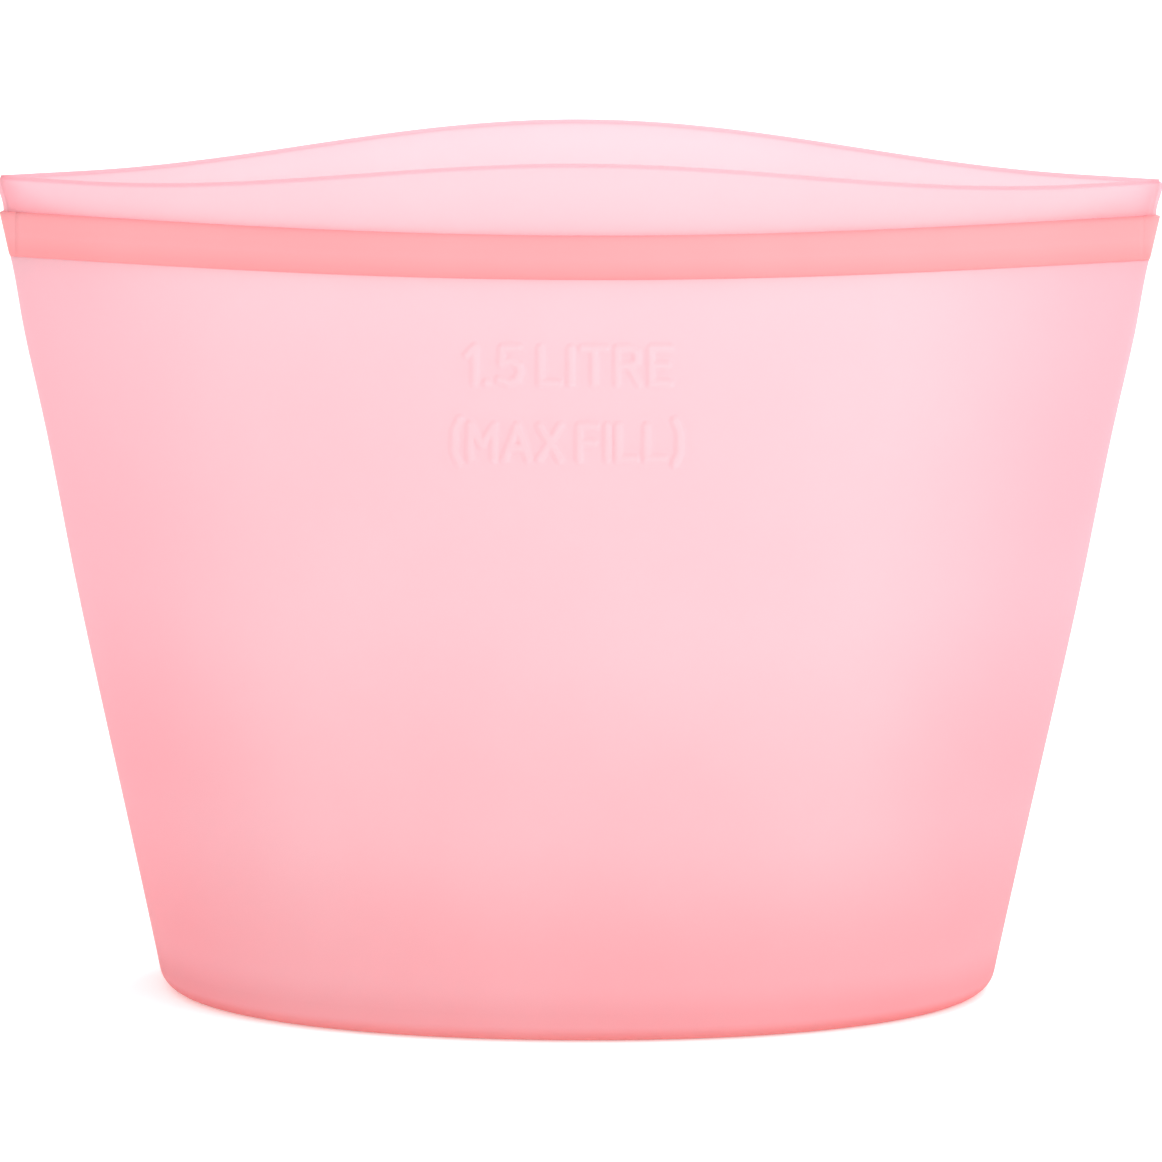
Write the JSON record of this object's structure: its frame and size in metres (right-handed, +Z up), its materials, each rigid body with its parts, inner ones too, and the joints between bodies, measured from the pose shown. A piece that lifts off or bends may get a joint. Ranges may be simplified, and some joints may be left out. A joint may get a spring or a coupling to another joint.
{
  "type": "reusable silicone bag",
  "caption": "Stand-up translucent silicone storage bag with an oval flat base, walls that narrow to a press-together zip band, and arched lips above it.",
  "frame": {"origin": "the middle of the flat base's underside, on the surface that the bag stands on", "axes": "+Z up; +X to the right across the wide mouth, from one zip end to the other; the front wall with the capacity mark faces -Y"},
  "size_m": [0.24, 0.099, 0.1786],
  "materials": {
    "silicone_wall": "matte translucent",
    "silicone_lip": "matte translucent",
    "silicone_zip": "matte translucent",
    "silicone_base": "matte translucent"
  },
  "bodies": {
    "root": {"base_panel": "silicone_base", "base_rim": "silicone_base", "front_wall": "silicone_wall", "back_wall": "silicone_wall", "side_seam_left": "silicone_wall", "side_seam_right": "silicone_wall", "zip_end_left": "silicone_zip", "zip_end_right": "silicone_zip", "capacity_mark": "silicone_wall"},
    "front_mouth": {"front_zip_band": "silicone_zip", "front_zip_ribs": "silicone_zip", "front_lip": "silicone_lip"},
    "back_mouth": {"back_zip_band": "silicone_zip", "back_zip_rails": "silicone_zip", "back_lip": "silicone_lip"}
  },
  "joints": [
    {"name": "front_mouth_flex", "type": "slide", "parent": "root", "child": "front_mouth", "axis": [0, 1, 0], "range_m": [-0.018, 0.02], "stiffness_N_per_m": 60, "deforming": ["front_zip_band", "front_zip_ribs", "front_lip"]},
    {"name": "back_mouth_flex", "type": "slide", "parent": "root", "child": "back_mouth", "axis": [0, -1, 0], "range_m": [-0.018, 0.02], "stiffness_N_per_m": 60, "deforming": ["back_zip_band", "back_zip_rails", "back_lip"]}
  ],
  "couplings": [
    {"joint": "back_mouth_flex", "follows": "front_mouth_flex", "ratio": 1}
  ]
}
